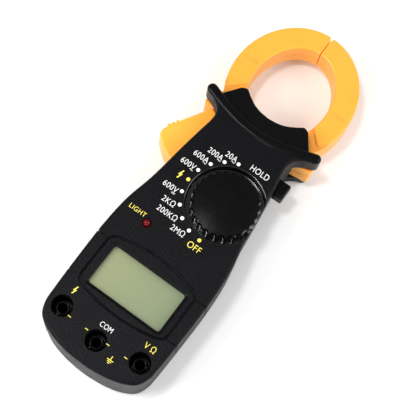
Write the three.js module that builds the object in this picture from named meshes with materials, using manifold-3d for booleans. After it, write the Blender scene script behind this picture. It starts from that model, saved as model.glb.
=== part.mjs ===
// Clamp meter: a hand-held digital multimeter with a split current-sensing jaw.
// Millimetres, +Z out of the front face, +Y towards the jaws, +X to the right.
// The origin is on the flat rear face, on the centre line.

import * as THREE from "three";
import { mergeVertices } from "three/addons/utils/BufferGeometryUtils.js";
import Module from "manifold-3d";

const wasm = await Module();
wasm.setup();

// ---------------------------------------------------------------- driving dimensions

const GAP = 0.3; // clearance between pieces that rest on each other
const CASE_DEPTH = 30; // rear face to front face
const WALL = 2; // case wall thickness
const SPLIT_Z = 14; // parting line between the front and rear case
const SLOT_Z = [6, 20.4]; // space between the case halves that the jaws and trigger use
const JAW_Z = [SLOT_Z[0] + GAP, SLOT_Z[1] - GAP];
const JAW_MID = (JAW_Z[0] + JAW_Z[1]) / 2;
const OPEN_TOP_Y = 33; // where the side walls end and the jaw slot is open

const BOARD_Z = [14.8, 16.4]; // main circuit board
const GUARD_Z = 28.2; // front of the guard above the collar
const COLLAR_Z = 30.8; // front of the collar ridge

// Jaw ring: outer and inner ellipses
const RING_OUT = { y: 67.3, rx: 32.9, ry: 37.7 };
const RING_IN = { y: 65.7, rx: 20.6, ry: 27.5 };
const CORE = { half: 2.1, high: 3.4 }; // half width and half thickness of the iron core
const COIL = { y0: 44, y1: 60, half: 4.4, high: 5.3 }; // stretch of each jaw that carries its winding
const TIP_GAP = 0.5; // opening between the two jaw tips

const RING_MID = { y: 66.5, rx: 26.75, ry: 32.6 }; // line along the middle of the ring
const PIVOT = { x: -17, y: 30, r: 2, lug: 4.8, seat: 24.6 }; // jaw pivot pin
const POST = { x: 15.2, y: 31, r: 2, lug: 4 }; // case post that holds the fixed jaw
const DIAL = { x: 9.4, y: -5.5, well: 19.2, knob: 16.8, floor: 26, top: 32.8 };
const JACKS = [
  { name: "live_jack", x: -21.9, y: -89.2 },
  { name: "com_jack", x: 0, y: -92.8 },
  { name: "volt_jack", x: 21.9, y: -89.2 },
];
const JACK = { recess: 5, wall: 1.2, floor: 18.4, sleeve: 3, bore: 2.05, flange: 4.3, rear: 5, front: 25 };
const WINDOW = { x: 20, y0: -73, y1: -51.9, z: 28.4 }; // visible part of the display
const BEZEL = { x: 24.7, y0: -77.2, y1: -46.6, rise: 3.4, corner: 4, lines: [-73.6, -51.1] };
const LED = { x: -14.9, y: -35, r: 1.8 };
const HOLD = { x0: 18.7, x1: 28.6, y: 20.2, z: 18, wide: 8.8, high: 7.4 };
const HOLD_SLOT = { x: 16, half: 4.7, rise: 4 }; // notch in both side walls for the hold key
const BATTERY = { r: 5.2, length: 44.2, x: 5.6, z: 7.9, cap: 1, capR: 1.9 }; // cells, side by side
const BAY = { x: 11.7, y0: -82.2, y1: -32, z: 13.4, wall: 1.2 };
const CONTACT = 0.4; // thickness of the battery contact plates
const COVER = { x: 14, y0: -84, y1: -26, rear: 0.15, z: 1.9 };
const COVER_LUG_X = 8; // hinge lugs at the lower end of the battery cover
const COVER_SCREW_Y = COVER.y1 - 4;
const CASE_SCREWS = [[-25.4, -79.5], [25.4, -79.5], [-24.2, -28], [24.2, -28]];
const CASE_SCREW = { head: 2.45, seat: 4.6, shank: 1.3, boss: 2.9 };
const JAW_SCREW = { x: 28, y: 40.8, head: 1.8, shank: 0.95 };
const TRIGGER_SLOT = { x: -16, y0: -3.6 }; // side opening that the trigger swings in

// Right half of the body outline, from the bottom middle upwards
const BODY_SIDE = [
  [0, -104.8], [13, -103.6], [22, -100.8], [27, -97.4], [29.5, -92],
  [30.1, -86], [30.9, -62], [31, -46], [29.9, -30], [27, -15], [24.6, 5], [22.9, 18], [21.7, 30],
];

// ---------------------------------------------------------------- materials

const material = (color, roughness, metalness = 0) =>
  new THREE.MeshStandardMaterial({ color, roughness, metalness });
const blackPlastic = () => material(0x1d1d20, 0.55);
const orangePlastic = () => material(0xf7a92b, 0.45);
const steel = () => material(0xb8babc, 0.3, 1);
const brass = () => material(0xc9a24e, 0.35, 1);
const copper = () => material(0xb4683a, 0.4, 1);
const nylon = () => material(0xe9e6dc, 0.5);

// ---------------------------------------------------------------- solid helpers

function solid(geometry) {
  const plain = geometry.clone();
  plain.deleteAttribute("normal");
  plain.deleteAttribute("uv");
  const merged = mergeVertices(plain, 1e-4);
  return new wasm.Manifold(new wasm.Mesh({
    numProp: 3,
    vertProperties: new Float32Array(merged.attributes.position.array),
    triVerts: new Uint32Array(merged.index.array),
  }));
}

function join(...parts) {
  return parts.reduce((whole, part) => whole.add(part));
}

function cut(whole, ...tools) {
  return tools.reduce((rest, tool) => rest.subtract(tool), whole);
}

function shapeOf(points) {
  return new THREE.Shape(points.map(([x, y]) => new THREE.Vector2(x, y)));
}

function prism(shape, z0, z1, curveSegments = 10) {
  const flat = Array.isArray(shape) ? shapeOf(shape) : shape;
  const options = { depth: z1 - z0, bevelEnabled: false, curveSegments };
  return solid(new THREE.ExtrudeGeometry(flat, options).translate(0, 0, z0));
}

function box(x0, x1, y0, y1, z0, z1) {
  const geometry = new THREE.BoxGeometry(x1 - x0, y1 - y0, z1 - z0);
  return solid(geometry.translate((x0 + x1) / 2, (y0 + y1) / 2, (z0 + z1) / 2));
}

function rod(x, y, z0, z1, r, sides = 24, top = r) {
  const geometry = new THREE.CylinderGeometry(top, r, z1 - z0, sides);
  return solid(geometry.rotateX(Math.PI / 2).translate(x, y, (z0 + z1) / 2));
}

// A rod that lies along X or Y
function crossRod(axis, from, to, a, b, r, sides = 20) {
  const geometry = new THREE.CylinderGeometry(r, r, to - from, sides);
  const middle = (from + to) / 2;
  if (axis === "y") return solid(geometry.translate(a, middle, b));
  return solid(geometry.rotateZ(Math.PI / 2).translate(middle, a, b));
}

function roundBox(x0, x1, y0, y1, r, z0, z1) {
  const shape = new THREE.Shape();
  shape.moveTo(x0 + r, y0);
  shape.lineTo(x1 - r, y0);
  shape.absarc(x1 - r, y0 + r, r, -Math.PI / 2, 0);
  shape.lineTo(x1, y1 - r);
  shape.absarc(x1 - r, y1 - r, r, 0, Math.PI / 2);
  shape.lineTo(x0 + r, y1);
  shape.absarc(x0 + r, y1 - r, r, Math.PI / 2, Math.PI);
  shape.lineTo(x0, y0 + r);
  shape.absarc(x0 + r, y0 + r, r, Math.PI, 1.5 * Math.PI);
  return prism(shape, z0, z1, 4);
}

// Wire bent along a curve
function wire(curve, r, steps, sides = 6) {
  const section = new THREE.Shape();
  for (let i = 0; i < sides; i += 1) {
    const a = (i / sides) * 2 * Math.PI;
    const point = [r * Math.cos(a), r * Math.sin(a)];
    if (i === 0) section.moveTo(...point);
    else section.lineTo(...point);
  }
  const options = { steps, bevelEnabled: false, extrudePath: curve };
  return solid(new THREE.ExtrudeGeometry(section, options));
}

// Coil spring along Y
function spring(centre, radius, length, turns, wireR) {
  const points = [];
  const perTurn = 8;
  for (let i = 0; i <= turns * perTurn; i += 1) {
    const a = (i / perTurn) * 2 * Math.PI;
    const along = (i / (turns * perTurn) - 0.5) * length;
    points.push(new THREE.Vector3(radius * Math.cos(a), along, radius * Math.sin(a)).add(centre));
  }
  return wire(new THREE.CatmullRomCurve3(points), wireR, turns * perTurn, 5);
}

const group = new THREE.Group();
group.name = "clamp_meter";

function place(name, whole, look) {
  const mesh = whole.getMesh();
  const geometry = new THREE.BufferGeometry();
  geometry.setAttribute("position", new THREE.BufferAttribute(mesh.vertProperties, 3));
  geometry.setIndex(new THREE.BufferAttribute(mesh.triVerts, 1));
  geometry.computeVertexNormals();
  const node = new THREE.Mesh(geometry, look);
  node.name = name;
  group.add(node);
}

// ---------------------------------------------------------------- outlines

// Closed outline of the body, moved inwards by inset, as a smooth curve through BODY_SIDE
function bodyOutline(inset, topY) {
  const left = BODY_SIDE.slice(1).reverse().map(([x, y]) => [-x, y]);
  const knots = [...left, ...BODY_SIDE].map(([x, y]) => new THREE.Vector3(x, y, 0));
  const curve = new THREE.CatmullRomCurve3(knots, false, "centripetal");
  const steps = 44;
  const points = [];
  for (let i = 0; i <= steps; i += 1) {
    const at = curve.getPoint(i / steps);
    const along = curve.getTangent(i / steps);
    points.push([at.x - along.y * inset, at.y + along.x * inset]);
  }
  const [x] = points[steps];
  return [[-x, topY], ...points, [x, topY]];
}

// Curved collar above the neck, with rounded ends
function collarShape(inset) {
  const [half, low, high, drop] = [33.3 - inset, 30.5 + inset, 36.2 - inset, 6.8];
  const shape = new THREE.Shape();
  shape.moveTo(-half + 1.6, low + drop);
  shape.quadraticCurveTo(0, low - drop, half - 1.6, low + drop);
  shape.quadraticCurveTo(half, low + drop + 0.4, half, low + drop + 2.4);
  shape.quadraticCurveTo(half, high + drop, half - 2, high + drop - 0.2);
  shape.quadraticCurveTo(0, high - drop, -half + 2, high + drop - 0.2);
  shape.quadraticCurveTo(-half, high + drop, -half, low + drop + 2.4);
  shape.quadraticCurveTo(-half, low + drop + 0.4, -half + 1.6, low + drop);
  return shape;
}

// Plate between the neck and the collar, with concave sides
function flareShape(inset) {
  const right = [
    [18, 24], [21.8, 24], [21.5, 28], [21.9, 30.4], [23, 32.7], [25.3, 34.8], [29, 37], [29, 39],
  ];
  const outline = [...right, ...right.slice().reverse().map(([x, y]) => [-x, y])];
  return outline.map(([x, y]) => [x - Math.sign(x) * inset, y]);
}

// Guard that covers the feet of the jaws, with a hollow top edge that follows the jaw opening
function guardShape(inset) {
  const side = [[22, 33], [26.5 - inset, 41], [19.6 - inset, 50.6 - inset], [17, 51.4 - inset]];
  const hollow = [[13.7, 49 - inset], [9, 46.3 - inset], [4.6, 44.9 - inset]];
  const right = [...side, ...hollow];
  return [...right, [0, 44.4 - inset], ...right.reverse().map(([x, y]) => [-x, y])];
}

// ---------------------------------------------------------------- case

function frontShell() {
  const outer = join(
    prism(bodyOutline(0, OPEN_TOP_Y), SPLIT_Z + GAP / 2, CASE_DEPTH),
    prism(guardShape(0), SLOT_Z[1], GUARD_Z),
    prism(flareShape(0), SLOT_Z[1], CASE_DEPTH),
    prism(collarShape(0), SLOT_Z[1], COLLAR_Z),
  );
  const inner = join(
    prism(bodyOutline(WALL, OPEN_TOP_Y + 4), SPLIT_Z - 1, CASE_DEPTH - WALL),
    prism(guardShape(WALL), SLOT_Z[1] - 1, GUARD_Z - WALL),
  );
  return cut(outer, inner);
}

// Sloped border of the display opening
function windowFunnel() {
  const spread = 1.9;
  const [low, high] = [WINDOW.z + 0.3, CASE_DEPTH + 0.2];
  const middle = (WINDOW.y0 + WINDOW.y1) / 2;
  const geometry = new THREE.BoxGeometry(2 * WINDOW.x, WINDOW.y1 - WINDOW.y0, high - low);
  geometry.translate(0, middle, (low + high) / 2);
  const corners = geometry.attributes.position;
  for (let i = 0; i < corners.count; i += 1) {
    if (corners.getZ(i) < low + 0.1) continue;
    corners.setX(i, corners.getX(i) + Math.sign(corners.getX(i)) * spread);
    corners.setY(i, corners.getY(i) + Math.sign(corners.getY(i) - middle) * spread);
  }
  return solid(geometry);
}

// Everything that stands on the inside of the front: dial wall, jack tubes, screw bosses, pivot boss
function frontInside() {
  const top = CASE_DEPTH - 1;
  const base = SPLIT_Z + GAP / 2;
  const inside = prism(bodyOutline(0.8, 30), base, top);
  const dialFloor = DIAL.floor - WALL;
  const dialWall = rod(DIAL.x, DIAL.y, dialFloor, CASE_DEPTH, DIAL.well + 1.6, 48);
  const posts = [
    ...JACKS.map(({ x, y }) => rod(x, y, JACK.floor, top, JACK.recess + JACK.wall, 28)),
    ...CASE_SCREWS.map(([x, y]) => rod(x, y, base, top, CASE_SCREW.boss - 0.2, 16)),
    rod(PIVOT.x, PIVOT.y, PIVOT.seat, top, 4.2, 20),
  ];
  return join(dialWall.intersect(prism(bodyOutline(0.6, 30), dialFloor, CASE_DEPTH)),
    ...posts.map((post) => post.intersect(inside)));
}

function frontCase() {
  const { x, y, well, floor } = DIAL;
  const lens = 1.5; // how far the window reaches behind its frame
  const inFront = CASE_DEPTH + 1;
  const springReach = 8;
  return cut(
    join(frontShell(), frontInside()),
    rod(x, y, floor, inFront, well, 48),
    rod(x, y, floor - WALL - 1, floor + 1, 5.4, 32),
    ...JACKS.map((jack) => rod(jack.x, jack.y, SPLIT_Z, inFront, JACK.recess, 28)),
    ...CASE_SCREWS.map(([sx, sy]) => rod(sx, sy, SPLIT_Z - 1, 25, CASE_SCREW.shank + GAP, 12)),
    rod(PIVOT.x, PIVOT.y, 24, 27, PIVOT.r + GAP, 16),
    rod(PIVOT.x, PIVOT.y, SLOT_Z[1] - 1, PIVOT.seat, 3.7, 20),
    box(PIVOT.x, PIVOT.x + 4, PIVOT.y - springReach, PIVOT.y + springReach, SLOT_Z[1] - 1, PIVOT.seat),
    box(-WINDOW.x, WINDOW.x, WINDOW.y0, WINDOW.y1, 27, inFront),
    box(-WINDOW.x - lens, WINDOW.x + lens, WINDOW.y0 - lens, WINDOW.y1 + lens, 27, WINDOW.z),
    windowFunnel(),
    bezelGroove(),
    rod(LED.x, LED.y, 27, inFront, LED.r + GAP, 16),
    box(-40, TRIGGER_SLOT.x, TRIGGER_SLOT.y0, OPEN_TOP_Y + 3, SPLIT_Z - 1, SLOT_Z[1] + 0.6),
    holdSlot(SPLIT_Z - 1, HOLD.z + HOLD_SLOT.rise),
  );
}

function holdSlot(z0, z1) {
  return box(HOLD_SLOT.x, 40, HOLD.y - HOLD_SLOT.half, HOLD.y + HOLD_SLOT.half, z0, z1);
}

// Frame line around the display, with side grooves that run out to the case walls
function bezelOutline(grow) {
  const { x, y0, y1, rise, corner } = BEZEL;
  const half = x + grow;
  const shape = new THREE.Shape();
  shape.moveTo(-half + corner, y0 - grow);
  shape.quadraticCurveTo(0, y0 - rise - 1.2 - grow, half - corner, y0 - grow);
  shape.quadraticCurveTo(half, y0 + 0.4 - grow, half, y0 + corner);
  shape.lineTo(half, y1 - corner);
  shape.quadraticCurveTo(half, y1 - 0.4 + grow, half - corner, y1 + grow);
  shape.quadraticCurveTo(0, y1 + rise + 1.2 + grow, -half + corner, y1 + grow);
  shape.quadraticCurveTo(-half, y1 - 0.4 + grow, -half, y1 - corner);
  shape.lineTo(-half, y0 + corner);
  shape.quadraticCurveTo(-half, y0 + 0.4 - grow, -half + corner, y0 - grow);
  return shape;
}

function bezelGroove() {
  const depth = 0.8;
  const wide = 0.9;
  const loop = cut(
    prism(bezelOutline(0), CASE_DEPTH - depth, CASE_DEPTH + 1, 8),
    prism(bezelOutline(-wide), CASE_DEPTH - depth - 1, CASE_DEPTH + 2, 8),
  );
  const [edge, outside] = [30.3, 32]; // how deep the side grooves cut, and a point clear of the case
  const lines = [];
  for (const y of BEZEL.lines) {
    for (const side of [-1, 1]) {
      const span = (from) => [from * side, outside * side].sort((a, b) => a - b);
      const across = [y - wide / 2, y + wide / 2];
      lines.push(box(...span(BEZEL.x - 0.5), ...across, CASE_DEPTH - depth, CASE_DEPTH + 1));
      lines.push(box(...span(edge), ...across, SPLIT_Z - 1, CASE_DEPTH + 1));
    }
  }
  return join(loop, ...lines);
}

function rearCase() {
  const step = 0.35; // how far the rear half stands inside the front half
  const top = SPLIT_Z + 1;
  const outer = join(
    prism(bodyOutline(step, OPEN_TOP_Y), 0, SPLIT_Z - GAP / 2),
    prism(guardShape(step), 0, SLOT_Z[0]),
    prism(flareShape(step), 0, SLOT_Z[0]),
    prism(collarShape(step), 0, SLOT_Z[0]),
  );
  const shell = cut(
    outer,
    prism(bodyOutline(WALL + step, OPEN_TOP_Y + 4), WALL, top),
    prism(guardShape(WALL + step), WALL, SLOT_Z[0] + 1),
    box(-40, TRIGGER_SLOT.x, TRIGGER_SLOT.y0, OPEN_TOP_Y + 3, SLOT_Z[0] - 0.1, top),
    holdSlot(HOLD.z - HOLD_SLOT.rise, top),
  );
  const { x, y0, y1, z, wall } = BAY;
  const ledge = 1.5; // how far the seat of the battery cover runs on around it
  const inside = prism(bodyOutline(1, 30), 0, SPLIT_Z);
  const bosses = CASE_SCREWS.map(([sx, sy]) => join(
    rod(sx, sy, 0.5, SPLIT_Z - GAP / 2, CASE_SCREW.boss, 16),
    rod(sx, sy, 0.5, CASE_SCREW.seat + 2, CASE_SCREW.boss + 1.1, 20),
  ).intersect(inside));
  const filled = join(
    shell,
    box(-x - wall, x + wall, y0 - wall, y1 + wall, 1, z + 1),
    box(-COVER.x - ledge, COVER.x + ledge, COVER.y0 - ledge, COVER.y1 + ledge, 1, 4.2),
    rod(0, COVER_SCREW_Y, 2.2, 9.4, 2.8, 16),
    ...bosses,
    cut(rod(PIVOT.x, PIVOT.y, 1, SLOT_Z[0], 4.2, 20), rod(PIVOT.x, PIVOT.y, 2.6, 8, PIVOT.r + GAP, 16)),
    rod(POST.x, POST.y, 1, 19.6, POST.r, 20),
  );
  return cut(
    filled,
    box(-x, x, y0, y1, -1, z),
    box(-COVER.x - GAP, COVER.x + GAP, COVER.y0 - GAP, COVER.y1 + GAP, -1, COVER.z + GAP),
    rod(0, COVER_SCREW_Y, 1, 8.6, 1.25, 12),
    ...[-1, 1].map((side) => box(
      side * COVER_LUG_X - 2.6, side * COVER_LUG_X + 2.6, y0 - 3.4, y0 + 1, COVER.z, 4.5)),
    ...CASE_SCREWS.map(([sx, sy]) => rod(sx, sy, -1, CASE_SCREW.seat, CASE_SCREW.head + GAP, 16)),
    ...CASE_SCREWS.map(([sx, sy]) => rod(sx, sy, 4, top, CASE_SCREW.shank + GAP, 12)),
  );
}

function batteryCover() {
  const { x, y0, y1, rear, z } = COVER;
  const lugTop = 3.2;
  const lugs = [-COVER_LUG_X, COVER_LUG_X].map((at) =>
    join(box(at - 2, at + 2, y0, y0 + 3.4, 1, lugTop),
      box(at - 2, at + 2, y0 - 1.2, y0 + 3.4, z + 0.5, lugTop)));
  const grips = [0, 1, 2, 3].map((i) => box(-9, 9, -50 - 3 * i, -48.8 - 3 * i, -1, 0.5));
  const head = rod(0, COVER_SCREW_Y, -1, 1.2, 2.5, 20);
  const bore = rod(0, COVER_SCREW_Y, -1, 4, 1.3, 12);
  return cut(join(box(-x, x, y0, y1, rear, z), ...lugs), ...grips, head, bore);
}

// Countersunk into the rear; z is the rear of the head
function screw(x, y, z, headR, headH, shankR, length) {
  const slots = [0, 1].map((turn) => {
    const geometry = new THREE.BoxGeometry(headR * 1.3, 0.5, 0.9);
    return solid(geometry.rotateZ((turn * Math.PI) / 2).translate(x, y, z));
  });
  const body = join(rod(x, y, z, z + headH, headR, 20), rod(x, y, z + headH - 0.2, z + length, shankR, 12));
  return cut(body, ...slots);
}

place("front_case", frontCase(), blackPlastic());
place("rear_case", rearCase(), blackPlastic());
place("battery_cover", batteryCover(), blackPlastic());
place("battery_cover_screw", screw(0, COVER_SCREW_Y, 0.25, 2.2, 0.65, 0.95, 5.4), steel());
CASE_SCREWS.forEach(([x, y], i) => {
  place(`case_screw_${i + 1}`, screw(x, y, 2, CASE_SCREW.head, 2.2, CASE_SCREW.shank, 20), steel());
});

// ---------------------------------------------------------------- jaws

// Half of an elliptical band on one side of the centre line; side is -1 or 1
function halfBand(side, outer, inner, z0, z1, y0 = -200, y1 = 200) {
  const steps = 22;
  const points = [];
  for (let i = 0; i <= steps; i += 1) {
    const a = (0.5 - i / steps) * Math.PI;
    points.push([side * outer.rx * Math.cos(a), outer.y + outer.ry * Math.sin(a)]);
  }
  for (let i = steps; i >= 0; i -= 1) {
    const a = (0.5 - i / steps) * Math.PI;
    points.push([side * inner.rx * Math.cos(a), inner.y + inner.ry * Math.sin(a)]);
  }
  const near = TIP_GAP / 2;
  const half = side > 0 ? [near, 60] : [-60, -near];
  return prism(points, z0, z1).intersect(box(...half, y0, y1, z0 - 1, z1 + 1));
}

// Band of constant width along the middle of the ring
function midBand(side, half, high, y0, y1) {
  const { y, rx, ry } = RING_MID;
  const outer = { y, rx: rx + half, ry: ry + half };
  const inner = { y, rx: rx - half, ry: ry - half };
  return halfBand(side, outer, inner, JAW_MID - high, JAW_MID + high, y0, y1);
}

function jawFoot(side, lug, z0, z1) {
  const shoulder = [[12, 36], [20, 34.5], [26.6, 36], [30.6, 38.4], [31.4, 41], [29, 45.4], [20, 48]];
  const link = [[lug.x * side - 3.8, 31], [9.5, 40], [23, 40], [lug.x * side + 3.4, 32]];
  const mirror = (points) => points.map(([x, y]) => [x * side, y]);
  return join(
    prism(mirror(shoulder), z0, z1),
    prism(mirror(link), z0, z1),
    rod(lug.x, lug.y, z0, z1, lug.lug, 24),
  );
}

// Trigger tongue between the two shells of the moving jaw, around the pivot
function tongue(grow, high) {
  const { x, y, lug } = PIVOT;
  const arm = [[-25, y - 8 - grow], [x, y - lug - grow], [x, y + lug + grow], [-25, y + 4 + grow]];
  return join(
    prism(arm, JAW_MID - high, JAW_MID + high),
    rod(x, y, JAW_MID - high, JAW_MID + high, lug + grow, 24),
  );
}

function jawShell(side, z0, z1) {
  const lug = side < 0 ? PIVOT : POST;
  const bore = (side < 0 ? PIVOT.r : POST.r) + GAP;
  const screwX = JAW_SCREW.x * side;
  const whole = join(halfBand(side, RING_OUT, RING_IN, z0, z1), jawFoot(side, lug, z0, z1));
  const tools = [
    midBand(side, CORE.half + GAP, CORE.high + GAP),
    midBand(side, COIL.half + GAP, COIL.high + GAP, COIL.y0 - 0.6, COIL.y1 + 0.6),
    rod(lug.x, lug.y, 0, 30, bore, 20),
    rod(screwX, JAW_SCREW.y, 8, 17.6, JAW_SCREW.shank + 0.35, 12),
    rod(screwX, JAW_SCREW.y, 5, 8.6, JAW_SCREW.head + 0.2, 16),
  ];
  if (side < 0) tools.push(tongue(GAP, 2.6 + GAP));
  return cut(whole, ...tools);
}

function jawCore(side) {
  const near = TIP_GAP / 2 + GAP;
  const half = side > 0 ? [near, 60] : [-60, -near];
  return midBand(side, CORE.half, CORE.high).intersect(box(...half, 0, 120, 0, 30));
}

function jawBobbin(side) {
  const { y0, y1, half, high } = COIL;
  const [bore, wall] = [CORE.half + GAP, 0.5];
  const tube = midBand(side, bore + wall, CORE.high + GAP + wall, y0, y1);
  const flanges = [[y0, y0 + 0.8], [y1 - 0.8, y1]].map(([a, b]) => midBand(side, half, high, a, b));
  return cut(join(tube, ...flanges), midBand(side, bore, CORE.high + GAP));
}

function jawCoil(side) {
  const { y0, y1, half, high } = COIL;
  const winding = midBand(side, half - 0.1, high - 0.1, y0 + 1.1, y1 - 1.1);
  return cut(winding, midBand(side, CORE.half + 1.1, CORE.high + 1.1));
}

function trigger() {
  const outline = new THREE.Shape();
  outline.moveTo(-22.4, 34.4);
  outline.lineTo(-26.4, 35.4);
  outline.lineTo(-36.4, 17.9);
  outline.quadraticCurveTo(-37.2, 16.4, -38, 15.2);
  outline.quadraticCurveTo(-40.2, 12.2, -39.4, 9.2);
  outline.quadraticCurveTo(-38.6, 7.2, -34.5, 4.4);
  outline.quadraticCurveTo(-30.5, 1.5, -27, 0.4);
  outline.lineTo(-23.8, 0.6);
  outline.lineTo(-22.4, 8);
  const body = prism(outline, JAW_Z[0], JAW_Z[1], 6);
  const ribs = [0, 1, 2].map((i) => {
    const geometry = new THREE.BoxGeometry(1.1, 0.9, JAW_Z[1] - JAW_Z[0] + 2);
    return solid(geometry.rotateZ(0.6).translate(-36.9 - i * 1.15, 17.5 - i * 2.1, JAW_MID));
  });
  const bore = rod(PIVOT.x, PIVOT.y, 0, 30, PIVOT.r + GAP, 20);
  return cut(join(body, tongue(0, 2.6)), ...ribs, bore);
}

function returnSpring() {
  const { x, y } = PIVOT;
  const [turns, perTurn, radius, rise, leg] = [3, 12, 2.85, 0.85, 7];
  const start = SLOT_Z[1] + 0.8;
  const points = [[x + radius, y - leg, start]];
  for (let i = 0; i <= turns * perTurn; i += 1) {
    const a = (i / perTurn) * 2 * Math.PI;
    points.push([x + radius * Math.cos(a), y + radius * Math.sin(a), start + (i / perTurn) * rise]);
  }
  points.push([x + radius, y + leg, start + turns * rise]);
  const curve = new THREE.CatmullRomCurve3(points.map((point) => new THREE.Vector3(...point)));
  return wire(curve, 0.3, 42, 5);
}

[["moving", -1], ["fixed", 1]].forEach(([name, side]) => {
  place(`${name}_jaw_front_shell`, jawShell(side, JAW_MID + GAP / 2, JAW_Z[1]), orangePlastic());
  place(`${name}_jaw_rear_shell`, jawShell(side, JAW_Z[0], JAW_MID - GAP / 2), orangePlastic());
  place(`${name}_jaw_core`, jawCore(side), material(0x4a4440, 0.6, 0.8));
  place(`${name}_jaw_bobbin`, jawBobbin(side), nylon());
  place(`${name}_jaw_coil`, jawCoil(side), copper());
  const { x, y, head, shank } = JAW_SCREW;
  place(`${name}_jaw_screw`, screw(x * side, y, JAW_Z[0] + GAP, head, 1.6, shank, 10), steel());
});
place("trigger", trigger(), orangePlastic());
place("jaw_pivot_pin", rod(PIVOT.x, PIVOT.y, 2.9, 26.7, PIVOT.r - 0.05, 20), steel());
place("jaw_return_spring", returnSpring(), steel());

// ---------------------------------------------------------------- dial

function scalloped(r, depth, count, z0, z1) {
  const points = [];
  const perScallop = 5;
  for (let i = 0; i < count * perScallop; i += 1) {
    const a = (i / (count * perScallop)) * 2 * Math.PI;
    const wave = Math.abs(Math.sin((a * count) / 2));
    const radius = r - depth * (1 - wave);
    points.push([DIAL.x + radius * Math.cos(a), DIAL.y + radius * Math.sin(a)]);
  }
  return prism(points, z0, z1);
}

function dialKnob() {
  const { x, y, knob, floor, top } = DIAL;
  const skirt = join(
    scalloped(knob, 0.7, 26, floor + GAP, top - 1.1),
    rod(x, y, top - 1.1, top, knob - 0.8, 48, knob - 2),
  );
  const hollow = rod(x, y, floor, top - 2.6, knob - 2.6, 40);
  const stem = join(
    rod(x, y, 22, top - 2, 4.9, 24),
    rod(x, y, 18.8, 22.2, 2.3, 6),
  );
  const pointer = box(x - 0.35, x + 0.35, y - knob + 2.6, y - knob + 9, top - 0.25, top + 1);
  return cut(join(cut(skirt, hollow), stem), pointer);
}

const ROTOR = { r: 11, z0: 18.6, z1: 21.6, ballZ: 20.1, boreR: 1.25 };
const BALL_R = 1;

function dialRotor() {
  const { x, y } = DIAL;
  const disc = rod(x, y, ROTOR.z0, ROTOR.z1, ROTOR.r, 40);
  const bores = [[x + 6.5, x + 12], [x - 12, x - 6.5]].map(([from, to]) =>
    crossRod("x", from, to, y, ROTOR.ballZ, ROTOR.boreR, 12));
  return cut(disc, ...bores, rod(x, y, 18, 22, 2.3 + GAP, 6));
}

function detentRing() {
  const inner = scalloped(12.8, 0.6, 20, 17, 25);
  return cut(rod(DIAL.x, DIAL.y, 18.4, 23.7, 13.9, 48), inner);
}

function wiper(radius, turn) {
  const { x, y } = DIAL;
  const shape = new THREE.Shape();
  const half = 0.36;
  shape.absarc(0, 0, radius + 0.7, turn - half, turn + half, false);
  shape.absarc(0, 0, radius - 0.7, turn + half, turn - half, true);
  const strip = prism(shape, 16.9, 17.3, 8).translate([x, y, 0]);
  const foot = rod(
    x + radius * Math.cos(turn), y + radius * Math.sin(turn), 17.1, ROTOR.z0 - GAP, 0.6, 10);
  return join(strip, foot);
}

function ball(x, y, z, r) {
  return solid(new THREE.SphereGeometry(r, 12, 8).translate(x, y, z));
}

place("dial_knob", dialKnob(), blackPlastic());
place("dial_rotor", dialRotor(), nylon());
place("detent_ring", detentRing(), nylon());
[4.6, 7.2, 9.8].forEach((radius, i) => {
  place(`dial_wiper_${i + 1}`, wiper(radius, -Math.PI / 2 + i * 0.5), brass());
});
[1, -1].forEach((side, i) => {
  const coil = spring(new THREE.Vector3(), 0.75, 2.9, 3, 0.16).rotate([0, 0, 90]);
  place(`detent_ball_${i + 1}`, ball(DIAL.x + side * 10.9, DIAL.y, ROTOR.ballZ, BALL_R), steel());
  place(`detent_spring_${i + 1}`, coil.translate([DIAL.x + side * 8.2, DIAL.y, ROTOR.ballZ]), steel());
});

// ---------------------------------------------------------------- display and board

function mainBoard() {
  const outline = [
    [-19, -98.6], [19, -98.6], [25.2, -94.6], [25.6, -84.4], [22, -83], [22, -33.5], [20.6, -32],
    [20.6, 6], [17.2, 16], [17.2, 24.5], [-6, 24.5], [-10.4, -3], [-10.4, -20], [-20.6, -32],
    [-22, -33.5], [-22, -83], [-25.6, -84.4], [-25.2, -94.6],
  ];
  const holes = JACKS.map(({ x, y }) => rod(x, y, SPLIT_Z, 17, JACK.sleeve + 0.4, 20));
  return cut(prism(outline, ...BOARD_Z), ...holes);
}

function lcdHolder() {
  const [x, y0, y1] = [22.2, -75.2, -49.6];
  const outer = box(-x, x, y0, y1, BOARD_Z[1] + GAP, 24.2);
  const inner = box(-x + 1.2, x - 1.2, y0 + 1.2, y1 - 1.2, 16, 25);
  return cut(outer, inner);
}

function jackSleeve(jack) {
  const { x, y } = jack;
  const flange = rod(x, y, BOARD_Z[1] + GAP, BOARD_Z[1] + 1.2, JACK.flange, 20);
  const tube = rod(x, y, JACK.rear, JACK.front, JACK.sleeve, 20);
  return cut(join(tube, flange), rod(x, y, JACK.rear + 1, JACK.front + 1, JACK.bore, 16));
}

function led() {
  const { x, y, r } = LED;
  const base = 23.4;
  return join(
    rod(x, y, base, CASE_DEPTH + 0.2, r, 16),
    ball(x, y, CASE_DEPTH, r),
    rod(x, y, base, base + 1, r + 0.5, 16),
    ...[-0.9, 0.9].map((leg) => rod(x + leg, y, BOARD_Z[1] + GAP, base + 0.6, 0.3, 8)),
  );
}

function holdButton() {
  const { x0, x1, y, z, wide, high } = HOLD;
  const block = roundBox(-high / 2, high / 2, y - wide / 2, y + wide / 2, 1.2, x0 + 0.6, x1);
  const flange = box(-high / 2 - 0.9, high / 2 + 0.9, y - wide / 2 - 1, y + wide / 2 + 1, x0, x0 + 1);
  const ribs = [-2, 0, 2].map((dy) => box(-5, 5, y + dy - 0.35, y + dy + 0.35, x1 - 0.5, x1 + 1));
  return cut(join(block, flange), ...ribs).rotate([0, 90, 0]).translate([0, 0, z]);
}

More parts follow.
